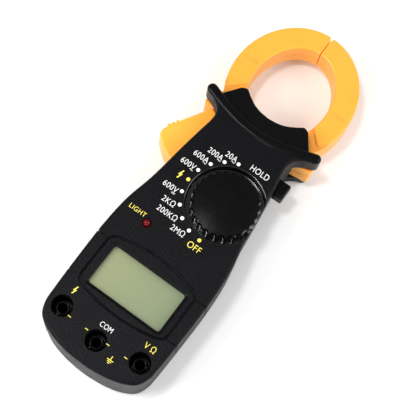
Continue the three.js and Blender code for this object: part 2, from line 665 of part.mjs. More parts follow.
function holdSwitch() {
  const { y } = HOLD;
  return join(box(11, 16.6, y - 3, y + 3, BOARD_Z[1] + GAP, 20.4),
    crossRod("x", 16, 17.3, y, 18.4, 1.5, 16));
}

function chip() {
  const body = box(-5, 5, -66, -56, BOARD_Z[1] + 0.6, 18.6);
  const legs = [];
  for (let i = -4; i <= 4; i += 2) {
    legs.push(box(-6.4, 6.4, -61 + i - 0.3, -61 + i + 0.3, BOARD_Z[1] + GAP, 17.4));
  }
  return join(body, ...legs);
}

place("main_board", mainBoard(), material(0x1f6b3a, 0.5));
place("meter_chip", chip(), material(0x17171a, 0.5));
place("lcd_holder", lcdHolder(), nylon());
place("lcd_panel", box(-21.2, 21.2, -74.2, -50.6, 24.5, 26.2), material(0x9aa384, 0.25));
place("lcd_window", box(-21.2, 21.2, -74.2, -50.7, 26.5, 28.1), material(0xc4ccb4, 0.08));
place("zebra_strip", box(-18, 18, -73.7, -71.6, BOARD_Z[1] + GAP, 24.2), material(0xd97f8a, 0.7));
place("light_led", led(), material(0xa01818, 0.2));
place("hold_button", holdButton(), blackPlastic());
place("hold_switch", holdSwitch(), material(0x2a2a2c, 0.5));
JACKS.forEach((jack) => place(jack.name, jackSleeve(jack), brass()));

// ---------------------------------------------------------------- batteries

const CELL_LIMITS = [BAY.y0 + GAP + CONTACT, BAY.y1 - GAP - CONTACT]; // between the contact plates

// The cell at side -1 has its cap at the upper end, the one at side 1 at the lower end
function battery(side) {
  const { r, length, x, z, cap, capR } = BATTERY;
  const start = side < 0 ? CELL_LIMITS[1] - GAP : CELL_LIMITS[0] + GAP;
  const span = (a, b) => [start + side * a, start + side * b].sort((low, high) => low - high);
  return join(
    crossRod("y", ...span(cap, length), x * side, z, r, 24),
    crossRod("y", ...span(0, cap + 0.2), x * side, z, capR, 14),
  );
}

function batterySpring(side) {
  const wireR = 0.3;
  const room = CELL_LIMITS[1] - CELL_LIMITS[0] - GAP - BATTERY.length;
  const y = side < 0 ? CELL_LIMITS[0] + room / 2 : CELL_LIMITS[1] - room / 2;
  const centre = new THREE.Vector3(side * BATTERY.x, y, BATTERY.z);
  return spring(centre, 3, room - 2 * GAP - 2 * wireR, 2, wireR);
}

function contactPlate(x0, x1, y0) {
  return box(x0, x1, y0, y0 + CONTACT, 3.6, 12.4);
}

[-1, 1].forEach((side, i) => {
  place(`battery_${i + 1}`, battery(side), material(0x3c4a58, 0.35, 0.4));
  place(`battery_spring_${i + 1}`, batterySpring(side), steel());
});
place("battery_bridge", contactPlate(-10.6, 10.6, BAY.y0 + GAP), steel());
place("battery_contact_positive", contactPlate(-10.6, -1, CELL_LIMITS[1]), steel());
place("battery_contact_negative", contactPlate(1, 10.6, CELL_LIMITS[1]), steel());

export default group;
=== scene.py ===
# Looks of the clamp meter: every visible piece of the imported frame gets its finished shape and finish.
# Shapes are in millimetres, and MM turns them into metres when a mesh is made. What Blender takes as it
# is, such as the grain of a material, the camera and the lights, is in metres.

import math

import bmesh
import bpy
from mathutils import Matrix, Vector


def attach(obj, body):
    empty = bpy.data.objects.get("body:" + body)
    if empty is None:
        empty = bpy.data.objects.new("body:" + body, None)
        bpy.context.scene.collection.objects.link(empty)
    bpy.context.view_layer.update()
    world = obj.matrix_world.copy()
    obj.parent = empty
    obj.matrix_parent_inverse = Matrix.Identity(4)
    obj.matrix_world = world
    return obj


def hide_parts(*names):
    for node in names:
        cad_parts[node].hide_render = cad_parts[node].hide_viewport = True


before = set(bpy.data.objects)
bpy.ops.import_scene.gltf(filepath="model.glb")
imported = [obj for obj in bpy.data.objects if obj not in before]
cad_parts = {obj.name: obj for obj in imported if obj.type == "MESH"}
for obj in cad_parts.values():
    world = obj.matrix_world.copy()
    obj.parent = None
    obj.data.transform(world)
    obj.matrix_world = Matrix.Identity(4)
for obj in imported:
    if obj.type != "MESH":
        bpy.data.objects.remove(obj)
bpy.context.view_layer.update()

MM = 0.001
scene = bpy.context.scene

# ---------------------------------------------------------------- sizes, in millimetres

FRONT_Z = 30.0                  # front face
SPLIT_Z = 14.0                  # parting line
SEAM = 0.15                     # from the parting line to each case half
WALL = 2.0                      # thickness of the case walls
REAR_STEP = 0.35                # the rear case is this much smaller all round
GAP = 0.3                       # play between pieces that move past each other
SLOT_LOW, SLOT_HIGH = 6.0, 20.4  # slot between the case halves for the jaws
GUARD_Z = 28.2                  # front of the guard above the collar
COLLAR_Z = 30.8                 # front of the collar
JAW_LOW, JAW_HIGH = SLOT_LOW + GAP, SLOT_HIGH - GAP
JAW_MID = (JAW_LOW + JAW_HIGH) / 2
JAW_SEAM = 0.12                 # from the middle of a jaw to each of its shells
OPEN_TOP_Y = 33.0               # the slot is open from here upwards
PIVOT = (-17.0, 30.0)           # pin that the moving jaw turns on
POST = (15.2, 31.0)             # post that holds the fixed jaw
PIN_BORE = 2.3                  # radius of the bores round the pin and the post
TONGUE = 2.6                    # half thickness of the trigger's tongue
DIAL = (9.4, -5.5)
WELL_R, KNOB_R = 19.2, 16.8
WELL_FLOOR, KNOB_TOP = 26.0, 32.8
JACKS = {"live_jack": (-21.9, -89.2), "com_jack": (0.0, -92.8), "volt_jack": (21.9, -89.2)}
JACK_R = 5.0
LED = (-14.9, -35.0)
HOLD_Y, HOLD_Z = 20.2, 18.0
HOLD_ROOM = (4.7, 4.0)          # half width and half height of the hold key's hole
TRIGGER_ROOM_Y = -3.6           # lower end of the trigger's slot
CASE_SCREWS = [(-25.4, -79.5), (25.4, -79.5), (-24.2, -28.0), (24.2, -28.0)]
COVER = (14.0, -84.0, -26.0)    # battery cover: half width, lower end, upper end
COVER_SCREW = (0.0, COVER[2] - 4)
COVER_LUG_X = (-8, 8)
WINDOW = (20.0, -73.0, -51.9)   # half width, lower edge, upper edge

# Right half of the body outline, from the bottom middle up to the neck, and its flare into the collar
BODY_SIDE = [
    (0, -104.8), (13, -103.6), (22, -100.8), (27, -97.4), (29.5, -92), (30.1, -86), (30.9, -62),
    (31, -46), (29.9, -30), (27, -15), (24.6, 5), (22.9, 18), (21.6, 27),
]
NECK_FLARE = [(21.8, 30), (22.9, 32.6), (25.2, 34.8), (28.6, 36.8)]


# ---------------------------------------------------------------- curves

def spline(knots, steps):
    """Centripetal Catmull-Rom curve through the knots, as a list of (x, y)."""
    pts = [Vector(k) for k in knots]
    pts = [pts[0] * 2 - pts[1]] + pts + [pts[-1] * 2 - pts[-2]]
    out = []
    spans = len(pts) - 3
    for i in range(spans):
        p0, p1, p2, p3 = pts[i:i + 4]
        t0 = 0.0
        t1 = t0 + max((p1 - p0).length, 1e-6) ** 0.5
        t2 = t1 + max((p2 - p1).length, 1e-6) ** 0.5
        t3 = t2 + max((p3 - p2).length, 1e-6) ** 0.5
        for s in range(steps):
            t = t1 + (t2 - t1) * s / steps
            a1 = (t1 - t) / (t1 - t0) * p0 + (t - t0) / (t1 - t0) * p1
            a2 = (t2 - t) / (t2 - t1) * p1 + (t - t1) / (t2 - t1) * p2
            a3 = (t3 - t) / (t3 - t2) * p2 + (t - t2) / (t3 - t2) * p3
            b1 = (t2 - t) / (t2 - t0) * a1 + (t - t0) / (t2 - t0) * a2
            b2 = (t3 - t) / (t3 - t1) * a2 + (t - t1) / (t3 - t1) * a3
            c = (t2 - t) / (t2 - t1) * b1 + (t - t1) / (t2 - t1) * b2
            out.append((c.x, c.y))
    out.append((pts[-2].x, pts[-2].y))
    return out


def rounded(corners, steps=6):
    """Closed outline through (x, y, radius) corners, each corner turned into an arc."""
    out = []
    count = len(corners)
    for i, (x, y, r) in enumerate(corners):
        here = Vector((x, y))
        back = Vector(corners[i - 1][:2]) - here
        ahead = Vector(corners[(i + 1) % count][:2]) - here
        if r <= 0:
            out.append((x, y))
            continue
        angle = back.angle(ahead)
        reach = min(r / math.tan(angle / 2), back.length * 0.49, ahead.length * 0.49)
        radius = reach * math.tan(angle / 2)
        start = here + back.normalized() * reach
        centre = here + (back.normalized() + ahead.normalized()).normalized() * (
            radius / math.sin(angle / 2))
        first = start - centre
        last = here + ahead.normalized() * reach - centre
        turn = first.angle_signed(last)
        for s in range(steps + 1):
            # angle_signed is clockwise positive, so the turn is applied the other way
            a = -turn * s / steps
            p = centre + Vector((
                first.x * math.cos(a) - first.y * math.sin(a),
                first.x * math.sin(a) + first.y * math.cos(a)))
            out.append((p.x, p.y))
    return out


def rect(x0, y0, x1, y1, r=0.0):
    """Rectangle with corners of radius r."""
    return rounded([(x0, y0, r), (x1, y0, r), (x1, y1, r), (x0, y1, r)])


def signed_area(points):
    total = 0.0
    for i, (x, y) in enumerate(points):
        nx, ny = points[(i + 1) % len(points)]
        total += x * ny - nx * y
    return total / 2


def inset(points, d):
    """The closed outline moved inwards by d."""
    if abs(d) < 1e-9:
        return list(points)
    side = 1 if signed_area(points) > 0 else -1
    out = []
    count = len(points)
    for i in range(count):
        a, b, c = (Vector(points[j % count]) for j in (i - 1, i, i + 1))
        before = b - a
        after = c - b
        n1 = Vector((-before.y, before.x)) * side
        n2 = Vector((-after.y, after.x)) * side
        n1 = n1.normalized() if n1.length > 1e-9 else n2.normalized()
        n2 = n2.normalized() if n2.length > 1e-9 else n1
        n = n1 + n2
        n = n.normalized() if n.length > 1e-9 else n1
        miter = 1 / max(n.dot(n1), 0.5)
        p = b + n * d * miter
        out.append((p.x, p.y))
    return out


def mirrored(points):
    return [(-x, y) for x, y in reversed(points)]


def on_side(side, points):
    """An outline drawn on the right (side 1), as it is or mirrored to the left (side -1)."""
    return points if side > 0 else mirrored(points)


def circle(x, y, r, sides=64):
    return [(x + r * math.cos(2 * math.pi * i / sides), y + r * math.sin(2 * math.pi * i / sides))
            for i in range(sides)]


def groove_section(across, deep, sides):
    """Oval section of an engraved line, as (out, up) points."""
    return [(across * x, deep * y) for x, y in circle(0, 0, 1, sides)]


# ---------------------------------------------------------------- meshes

def mesh_object(name, verts, faces):
    mesh = bpy.data.meshes.new(name)
    mesh.from_pydata([Vector(v) * MM for v in verts], [], faces)
    mesh.validate()
    obj = bpy.data.objects.new(name, mesh)
    scene.collection.objects.link(obj)
    bm = bmesh.new()
    bm.from_mesh(mesh)
    bmesh.ops.recalc_face_normals(bm, faces=bm.faces)
    bm.to_mesh(mesh)
    bm.free()
    return obj


def loft(name, rings, closed=False):
    """Skin over rings of equal length; the ends are capped, or joined to each other if closed."""
    count = len(rings[0])
    verts = [v for ring in rings for v in ring]
    faces = []
    spans = len(rings) if closed else len(rings) - 1
    for r in range(spans):
        a, b = r * count, ((r + 1) % len(rings)) * count
        for i in range(count):
            j = (i + 1) % count
            faces.append((a + i, a + j, b + j, b + i))
    if not closed:
        faces.append(tuple(range(count)))
        faces.append(tuple(range((len(rings) - 1) * count, len(rings) * count)))
    return mesh_object(name, verts, faces)


def slab(name, outline, z0, z1, top=0.0, bottom=0.0, steps=5, fade=None):
    """Extruded outline with rounded edges of radius top and bottom; fade is the pair of Y between which
    the rounding dies out."""
    levels = []
    if bottom > 0:
        for s in range(steps + 1):
            a = math.pi / 2 * s / steps
            levels.append((bottom * (1 - math.sin(a)), z0 + bottom * (1 - math.cos(a))))
    else:
        levels.append((0.0, z0))
    if top > 0:
        for s in range(steps + 1):
            a = math.pi / 2 * s / steps
            levels.append((top * (1 - math.cos(a)), z1 - top + top * math.sin(a)))
    else:
        levels.append((0.0, z1))
    rings = []
    for d, z in levels:
        moved = inset(outline, d)
        if fade:
            share = [min(max((fade[1] - y) / (fade[1] - fade[0]), 0), 1) for x, y in outline]
            moved = [Vector(p).lerp(Vector(q), w) for p, q, w in zip(outline, moved, share)]
        rings.append([(x, y, z) for x, y in moved])
    return loft(name, rings)


def lathe(name, centre, profile, sides=64):
    """Solid of revolution about Z through centre; profile is (radius, z) from one end to the other."""
    x, y = centre
    rings = [[(px, py, z) for px, py in circle(x, y, max(r, 0.001), sides)] for r, z in profile]
    return loft(name, rings)


def rod(name, centre, r, z0, z1, sides=64):
    """Round bar along Z."""
    return lathe(name, centre, [(0, z0), (r, z0), (r, z1), (0, z1)], sides)


def block(name, low, high, r=0.0):
    """Box between two corners, with upright edges of radius r."""
    (x0, y0, z0), (x1, y1, z1) = low, high
    return slab(name, rect(x0, y0, x1, y1, r), z0, z1)


def sweep_loop(name, points, z, section):
    """Closed sweep of a section, a list of (out, up), along a closed path of (x, y) at height z."""
    count = len(points)
    side = 1 if signed_area(points) > 0 else -1
    rings = []
    for i in range(count):
        a, c = Vector(points[i - 1]), Vector(points[(i + 1) % count])
        t = (c - a).normalized()
        n = Vector((t.y, -t.x)) * side
        x, y = points[i]
        rings.append([(x + n.x * out, y + n.y * out, z + up) for out, up in section])
    return loft(name, rings, closed=True)


def paint(obj, mat):
    obj.data.materials.clear()
    obj.data.materials.append(mat)
    return obj


def combine(target, tools, operation):
    """Joins or cuts the painted target with each tool, and removes the tools. A tool's surface keeps the
    tool's paint, and an unpainted tool takes the target's first one."""
    for tool in tools:
        if not tool.data.materials:
            paint(tool, target.data.materials[0])
        mod = target.modifiers.new("combine", "BOOLEAN")
        mod.operation = operation
        mod.solver = "MANIFOLD"
        mod.material_mode = "TRANSFER"
        mod.object = tool
        deps = bpy.context.evaluated_depsgraph_get()
        mesh = bpy.data.meshes.new_from_object(target.evaluated_get(deps))
        target.modifiers.clear()
        target.data = mesh
        bpy.data.objects.remove(tool)
    return target


def cut(target, *tools):
    return combine(target, tools, "DIFFERENCE")


def join(target, *tools):
    return combine(target, tools, "UNION")


# ---------------------------------------------------------------- materials

def new_material(name):
    mat = bpy.data.materials.new(name)
    mat.use_nodes = True
    return mat, mat.node_tree, mat.node_tree.nodes["Principled BSDF"]


def noise(tree, scale, detail):
    coords = tree.nodes.new("ShaderNodeTexCoord")
    tex = tree.nodes.new("ShaderNodeTexNoise")
    tex.inputs["Scale"].default_value = scale
    tex.inputs["Detail"].default_value = detail
    tree.links.new(coords.outputs["Object"], tex.inputs["Vector"])
    return tex.outputs["Fac"]


def ramp(tree, source, low, high, at=(0.3, 0.7)):
    node = tree.nodes.new("ShaderNodeValToRGB")
    node.color_ramp.elements[0].position, node.color_ramp.elements[1].position = at
    node.color_ramp.elements[0].color = low
    node.color_ramp.elements[1].color = high
    tree.links.new(source, node.inputs["Fac"])
    return node.outputs["Color"]


def uneven_gloss(tree, shader, scale, low, high):
    """Roughness that drifts between low and high."""
    source = ramp(tree, noise(tree, scale, 3), (low, low, low, 1), (high, high, high, 1))
    tree.links.new(source, shader.inputs["Roughness"])


def bump(tree, shader, source, height):
    node = tree.nodes.new("ShaderNodeBump")
    node.inputs["Strength"].default_value = 1.0
    node.inputs["Distance"].default_value = height
    tree.links.new(source, node.inputs["Height"])
    tree.links.new(node.outputs["Normal"], shader.inputs["Normal"])


def plastic(name, color, spread, rough, grain_scale, grain_height, metal=0.0, gloss_level=0.5):
    """Slow colour drift, uneven gloss and a fine surface grain; lengths are in metres. Metals use it too."""
    mat, tree, shader = new_material(name)
    drift_scale = 60
    low = tuple(c * (1 - spread) for c in color) + (1,)
    high = tuple(min(c * (1 + spread), 1) for c in color) + (1,)
    tree.links.new(ramp(tree, noise(tree, drift_scale, 4), low, high), shader.inputs["Base Color"])
    uneven_gloss(tree, shader, drift_scale * 3, rough - 0.05, rough + 0.05)
    bump(tree, shader, noise(tree, grain_scale, 2), grain_height)
    shader.inputs["Metallic"].default_value = metal
    shader.inputs["Specular IOR Level"].default_value = gloss_level
    return mat


def amber(name, color, spread, rough, grain_scale, weight, radius, painted_glow=0.0):
    """Orange plastic that lets light in. Its emission is painted light: an orange-red shine that stands in
    for light coming through the plastic.
    """
    mat = plastic(name, color, spread, rough, grain_scale, 0.000006)
    shader = mat.node_tree.nodes["Principled BSDF"]
    shader.inputs["Subsurface Weight"].default_value = weight
    shader.inputs["Subsurface Radius"].default_value = radius
    shader.inputs["Subsurface Scale"].default_value = 0.002
    # painted light: a weak orange-red emission, seen mostly where the plastic lies in shade
    shader.inputs["Emission Color"].default_value = (1.0, 0.12, 0.01, 1)
    shader.inputs["Emission Strength"].default_value = painted_glow
    return mat


CASE_BLACK = plastic("case_black", (0.0015, 0.0015, 0.0027), 0.25, 0.44, 1100, 0.00025, gloss_level=0.13)
GUARD_BLACK = plastic("guard_black", (0.002, 0.002, 0.0026), 0.15, 0.27, 4200, 0.000008, gloss_level=0.12)
KNOB_BLACK = plastic("knob_black", (0.0018, 0.0018, 0.0022), 0.15, 0.26, 5200, 0.000001, gloss_level=0.12)
EDGE_BLACK = plastic("edge_black", (0.002, 0.002, 0.0025), 0.15, 0.16, 5200, 0.000002, gloss_level=0.6)
SOFT_AMBER = (0.3, (1.0, 0.42, 0.08))  # how much light goes in, and how far each colour gets
# darker, redder copy of the amber: painted shade for the grooves, the lowered step and the tip faces
SHADED_AMBER = ((0.95, 0.34, 0.03), 0.05, 0.45, 3000, 0.4, (1.0, 0.3, 0.05))
ORANGE = amber("amber_plastic", (0.99, 0.41, 0.042), 0.03, 0.34, 3200, *SOFT_AMBER)
# the trigger's amber carries painted light: a weak glow that makes its shaded side near the case redder
TRIGGER_ORANGE_PAINTED_GLOW = amber("amber_trigger_painted_glow", (0.99, 0.46, 0.047), 0.03, 0.34, 3200, *SOFT_AMBER, 0.15)
# the grooves' amber is painted shade: darker than the rest of the jaw
GROOVE_PAINTED_SHADE = amber("amber_groove_painted_shade", *SHADED_AMBER)
# the tip faces: darker amber with a glow, painted shade and painted light in the gap between the tips
TIP_FACE_PAINTED_SHADE_AND_GLOW = amber("amber_tip_face_painted_shade_and_glow", *SHADED_AMBER, 0.17)
PRINT_WHITE = plastic("print_white", (0.82, 0.82, 0.8), 0.04, 0.5, 5000, 0.000003)
PRINT_YELLOW = plastic("print_yellow", (0.86, 0.74, 0.1), 0.05, 0.5, 5000, 0.000003)
STEEL = plastic("zinc_steel", (0.6, 0.61, 0.62), 0.08, 0.32, 1800, 0.000004, metal=1.0)
BRASS = plastic("plated_brass", (0.62, 0.55, 0.42), 0.08, 0.28, 1800, 0.000004, metal=1.0)
COPPER = plastic("enamelled_copper", (0.62, 0.24, 0.1), 0.12, 0.34, 1500, 0.00001, metal=0.9)
IRON = plastic("core_iron", (0.16, 0.15, 0.145), 0.2, 0.5, 900, 0.00003, metal=0.7)
NYLON = plastic("natural_nylon", (0.8, 0.77, 0.68), 0.04, 0.5, 2600, 0.00001)
BOARD = plastic("board_green", (0.03, 0.2, 0.08), 0.25, 0.35, 900, 0.00002)
CHIP = plastic("chip_epoxy", (0.02, 0.02, 0.022), 0.2, 0.55, 2600, 0.00002)
ZEBRA = plastic("zebra_rubber", (0.62, 0.3, 0.34), 0.15, 0.7, 1800, 0.00002)
CELL = plastic("cell_wrap", (0.05, 0.09, 0.16), 0.15, 0.3, 1500, 0.000008, metal=0.3)
LED_RED = plastic("led_epoxy", (0.13, 0.002, 0.002), 0.1, 0.12, 900, 0.000004, gloss_level=0.25)


def display_material():
    """Reflective liquid-crystal panel: grey-green, with painted shade that makes it a little darker towards
    one end.
    """
    mat, tree, shader = new_material("display_green")
    coords = tree.nodes.new("ShaderNodeTexCoord")
    split = tree.nodes.new("ShaderNodeSeparateXYZ")
    tree.links.new(coords.outputs["Object"], split.inputs["Vector"])
    along = tree.nodes.new("ShaderNodeMapRange")
    along.inputs["From Min"].default_value = -WINDOW[0] * MM
    along.inputs["From Max"].default_value = WINDOW[0] * MM
    tree.links.new(split.outputs["X"], along.inputs["Value"])
    # painted shade: the tone runs from the lighter value to the darker one across the panel's width
    light, dark = (0.205, 0.228, 0.079, 1), (0.137, 0.182, 0.069, 1)
    tone = ramp(tree, along.outputs["Result"], light, dark, (0, 1))
    tree.links.new(tone, shader.inputs["Base Color"])
    uneven_gloss(tree, shader, 400, 0.3, 0.4)
    bump(tree, shader, noise(tree, 5000, 1), 0.000002)
    return mat


def window_material():
    """Clear window: almost invisible except for its gloss."""
    mat, tree, shader = new_material("window_clear")
    shader.inputs["Base Color"].default_value = (0.86, 0.9, 0.8, 1)
    shader.inputs["Alpha"].default_value = 0.05
    uneven_gloss(tree, shader, 300, 0.05, 0.1)
    return mat


DISPLAY = display_material()
CLEAR = window_material()


# ---------------------------------------------------------------- finishing a piece

def shells(bm):
    """Lists of faces that hang together over edges with exactly two faces, smallest list first."""
    found = []
    seen = set()
    for first in bm.faces:
        if first in seen:
            continue
        seen.add(first)
        shell = [first]
        for face in shell:
            for edge in face.edges:
                if len(edge.link_faces) == 2:
                    near = [f for f in edge.link_faces if f not in seen]
                    seen.update(near)
                    shell += near
        found.append(shell)
    return sorted(found, key=len)


def weld(obj):
    """Merges points closer than 5 micrometres and drops the slivers and flakes that the cuts leave."""
    near = 0.005 * MM
    bm = bmesh.new()
    bm.from_mesh(obj.data)
    bmesh.ops.remove_doubles(bm, verts=bm.verts, dist=near)
    # dissolving leaves a few faces with more than three corners, so both steps run twice
    for _ in range(2):
        bmesh.ops.dissolve_degenerate(bm, edges=bm.edges, dist=near)
        bmesh.ops.triangulate(bm, faces=bm.faces, quad_method="BEAUTY", ngon_method="BEAUTY")
    flakes = [face for shell in shells(bm)[:-1] for face in shell]
    bmesh.ops.delete(bm, geom=flakes, context="FACES")
    bm.to_mesh(obj.data)
    bm.free()


def smooth(obj, angle):
    """Smooth shading that stays sharp where faces meet at more than angle degrees."""
    obj.data.shade_smooth()
    obj.data.set_sharp_from_angle(angle=math.radians(angle))
    obj.modifiers.new("normals", "WEIGHTED_NORMAL").keep_sharp = True


def finish_piece(obj, body, slot, *nodes, angle=32):
    """Cleans and smooths a piece, says which body carries it, and hides the CAD nodes it stands for."""
    weld(obj)
    smooth(obj, angle)
    if nodes:
        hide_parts(*nodes)
    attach(obj, body)
    return obj


# ---------------------------------------------------------------- case outlines

def case_outline(grow=0.0, flare=True):
    """Body outline, anticlockwise; with the flare it reaches up under the collar."""
    side = BODY_SIDE + (NECK_FLARE if flare else [(21.7, 30), (21.8, OPEN_TOP_Y)])
    left = [(-x, y) for x, y in reversed(side[1:])]
    points = spline(left + side, 8)
    if flare:
        top = [p for p in collar_middle() if p[0] < 28]
        points += top[::-1] + [(-x, y) for x, y in top[1:]]
    return inset(points, -grow) if grow else points


def collar_middle():
    """Right half of the line along the middle of the collar."""
    return spline([(0, 33.1), (8, 33.8), (16, 35.5), (23.5, 37.6), (30.6, 40.1)], 6)


def collar_outline(reach=40):
    """Curved band along the top of the case with round ends; reach is how far it goes from the middle."""
    half_width = 2.65
    middle = [p for p in collar_middle() if p[0] < reach]
    low, high = [], []
    for i, p in enumerate(middle):
        a = Vector(middle[max(i - 1, 0)])
        b = Vector(middle[min(i + 1, len(middle) - 1)])
        t = (b - a).normalized() if i else Vector((1, 0))
        n = Vector((-t.y, t.x)) * half_width
        low.append((p[0] - n.x, p[1] - n.y))
        high.append((p[0] + n.x, p[1] + n.y))
    end = Vector(middle[-1])
    start = Vector(low[-1]) - end
    cap = []
    for s in range(1, 10):
        a = math.pi * s / 10
        cap.append((end.x + start.x * math.cos(a) - start.y * math.sin(a),
                    end.y + start.x * math.sin(a) + start.y * math.cos(a)))
    right = low + cap + list(reversed(high))
    left = [(-x, y) for x, y in reversed(right) if x > 1e-6]
    return right + left


def guard_outline():
    """Plate above the collar, hollowed out along the opening of the jaws."""
    hollow = [(13.7, 48.9), (9, 46.2), (4.6, 44.9), (0, 44.4)]
    low = [(x, y, 0) for x, y in collar_middle() if x < 25]
    right = low + [(26.4, 41, 1.0), (19.8, 50.2, 2.2), (17.0, 51.4, 1.8)]
    arc = [(x, y, 0) for x, y in spline(hollow, 4)]
    corners = right + arc
    left = [(-x, y, r) for x, y, r in reversed(corners) if x > 1e-6]
    return rounded(corners + left)


# ---------------------------------------------------------------- front case

def bezel_outline():
    """Frame line round the display: straight sides, bowed ends that run smoothly into the corners."""
    half, r = 24.5, 4.6
    lean = math.radians(11)          # slope of the bow where the corner arc starts
    points = []
    steps = 20
    for side, y_edge, bow in ((-1, -76.0, 2.7), (1, -48.2, 2.9)):
        end = half - r + r * math.sin(lean)
        across = [2 * s / steps - 1 for s in range(steps + 1)]
        low = [(end * u, y_edge + side * bow * (1 - u ** 2)) for u in across]
        corner = []
        for s in range(1, 10):
            a = (math.pi / 2 - lean) * (1 - s / 9)
            corner.append((half - r + r * math.cos(a), y_edge + side * r * (math.sin(a) - math.cos(lean))))
        run = [(-x, y) for x, y in reversed(corner)] + low + corner
        points += run if side < 0 else list(reversed(run))
    return points


def window_rect(grow, r):
    """Outline of the display opening, made larger by grow."""
    half, low, high = WINDOW
    return rect(-half - grow, low - grow, half + grow, high + grow, r)


def well_profile(radius, floor, lip, top):
    """Cutter profile: flat floor with a small fillet, straight wall and a lip that rolls outwards."""
    fillet = 0.6
    dip = 0.3 * fillet
    points = [(0, floor), (radius - fillet, floor), (radius - dip, floor + dip), (radius, floor + fillet)]
    for s in range(7):
        a = math.pi / 2 * s / 6
        points.append((radius + lip * (1 - math.cos(a)), top - lip + lip * math.sin(a)))
    points += [(radius + lip, top + 2), (0, top + 2)]
    return points


def rear_well(radius, floor, lip, top):
    """The same for a hole that opens downwards."""
    return [(r, -z) for r, z in well_profile(radius, -floor, lip, -top)]


def window_funnel():
    """Cutter of the display opening, which widens in steps towards the front."""
    levels = [(0, 1.3, 26), (0, 1.3, 28.4), (0.15, 1.4, 28.6), (1.5, 2.2, 29.45), (1.75, 2.4, 29.75),
              (1.85, 2.4, 31)]
    return loft("window_funnel", [[(x, y, z) for x, y in window_rect(grow, r)] for grow, r, z in levels])


def panel_lines():
    """Cutters of the two engraved lines beside the display frame and down the side walls."""
    half_width, depth = 0.4, 0.8
    lines = (("top_line", 24.4, FRONT_Z - depth), ("side_line", 30.25, 10))
    tools = []
    for y in (-73.6, -51.1):
        for side in (-1, 1):
            for name, start, z0 in lines:
                x0, x1 = sorted((start * side, 34 * side))
                line = block(name, (x0, y - half_width, z0), (x1, y + half_width, 32))
                tools.append(paint(line, GUARD_BLACK))
    return tools


def hold_room(z0, z1):
    """Cutter of the hold key's hole in the right wall, between two heights."""
    half_width = HOLD_ROOM[0]
    return block("hold_slot", (16, HOLD_Y - half_width, z0), (60, HOLD_Y + half_width, z1))


def front_case():
    body = slab("front_case_skin", case_outline(), SPLIT_Z + SEAM, FRONT_Z, 1.5, 0.35, 7)
    paint(body, CASE_BLACK)
    cut(body, slab("room", inset(case_outline(0, False), WALL), SPLIT_Z - 2, 24.0))
    cut(body, block("slot", (-60, OPEN_TOP_Y, 0), (60, 80, SLOT_HIGH)))
    guard = slab("front_guard", guard_outline(), SLOT_HIGH, GUARD_Z, 0.9, 0.3)
    collar = slab("front_collar", collar_outline(), SLOT_HIGH, COLLAR_Z, 1.7, 0.5, 7)
    join(body, paint(guard, GUARD_BLACK), paint(collar, GUARD_BLACK))
    join(body, *[rod("tube", at, JACK_R + 1.2, 18.4, 26) for at in JACKS.values()])
    join(body, rod("dial_floor", DIAL, 14.2, 23.9, 27, 96))
    dial_well = lathe("dial_well", DIAL, well_profile(WELL_R, WELL_FLOOR, 0.8, FRONT_Z), 128)
    bezel_groove = sweep_loop("bezel_groove", bezel_outline(), FRONT_Z, groove_section(0.6, 0.62, 12))
    cut(body,
        block("trigger_slot", (-60, TRIGGER_ROOM_Y, 0), (-16, 60, 21)),
        hold_room(0, HOLD_Z + HOLD_ROOM[1]),
        paint(dial_well, EDGE_BLACK),
        rod("dial_bore", DIAL, 5.4, 20, 27),
        rod("pin_bore", PIVOT, PIN_BORE, 20, 27, 32),
        lathe("led_bore", LED, well_profile(2.1, 20, 0.25, FRONT_Z), 48),
        block("panel_room", (-22.6, -75.6, 10), (22.6, -49.2, 28.4)),
        window_funnel(),
        *[lathe("jack_bore", at, well_profile(JACK_R, 19.6, 0.35, FRONT_Z)) for at in JACKS.values()],
        *[rod("jack_hole", at, 3.35, 10, 21, 48) for at in JACKS.values()],
        paint(bezel_groove, GUARD_BLACK),
        *panel_lines())
    return finish_piece(body, "case", "black_plastic", "front_case", angle=30)


front_case()


# ---------------------------------------------------------------- rear case and battery door

